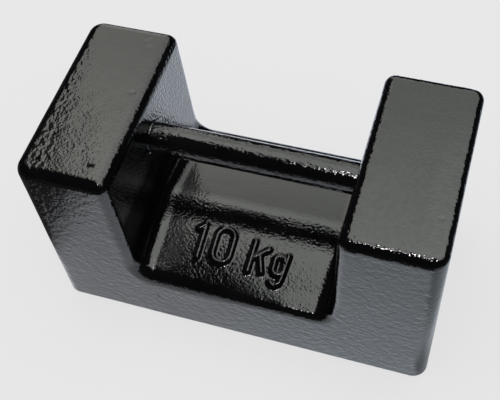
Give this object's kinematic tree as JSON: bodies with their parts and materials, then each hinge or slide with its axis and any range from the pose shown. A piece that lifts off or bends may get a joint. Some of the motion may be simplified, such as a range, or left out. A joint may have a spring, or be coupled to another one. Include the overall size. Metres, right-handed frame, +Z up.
{
  "type": "scale weight",
  "caption": "Rectangular cast iron bar test weight with two uprights, a tubular hand grip between them and an adjusting cavity closed by a plug and a lead seal.",
  "frame": {"origin": "centre of the underside", "axes": "+X along the length towards the end face that holds the seal, +Y from the front (the side with the raised value) to the back, +Z up"},
  "size_m": [0.1926, 0.0976, 0.109],
  "materials": {
    "enamelled_iron": "gloss",
    "enamelled_tube": "gloss",
    "bare_steel": "satin",
    "lead_shot": "matte",
    "plug_brass": "satin",
    "seal_lead": "satin"
  },
  "bodies": {
    "casting": {"body_casting": "enamelled_iron", "handle_tube": "enamelled_tube", "tube_end_disc": "bare_steel", "adjusting_shot": "lead_shot"},
    "plug": {"closing_plug": "plug_brass"},
    "seal": {"lead_seal": "seal_lead"}
  },
  "joints": [
    {"name": "plug_out", "type": "slide", "parent": "casting", "child": "plug", "axis": [1, 0, 0], "range_m": [0, 0.03]},
    {"name": "seal_out", "type": "slide", "parent": "plug", "child": "seal", "axis": [1, 0, 0], "range_m": [0, 0.012]}
  ]
}
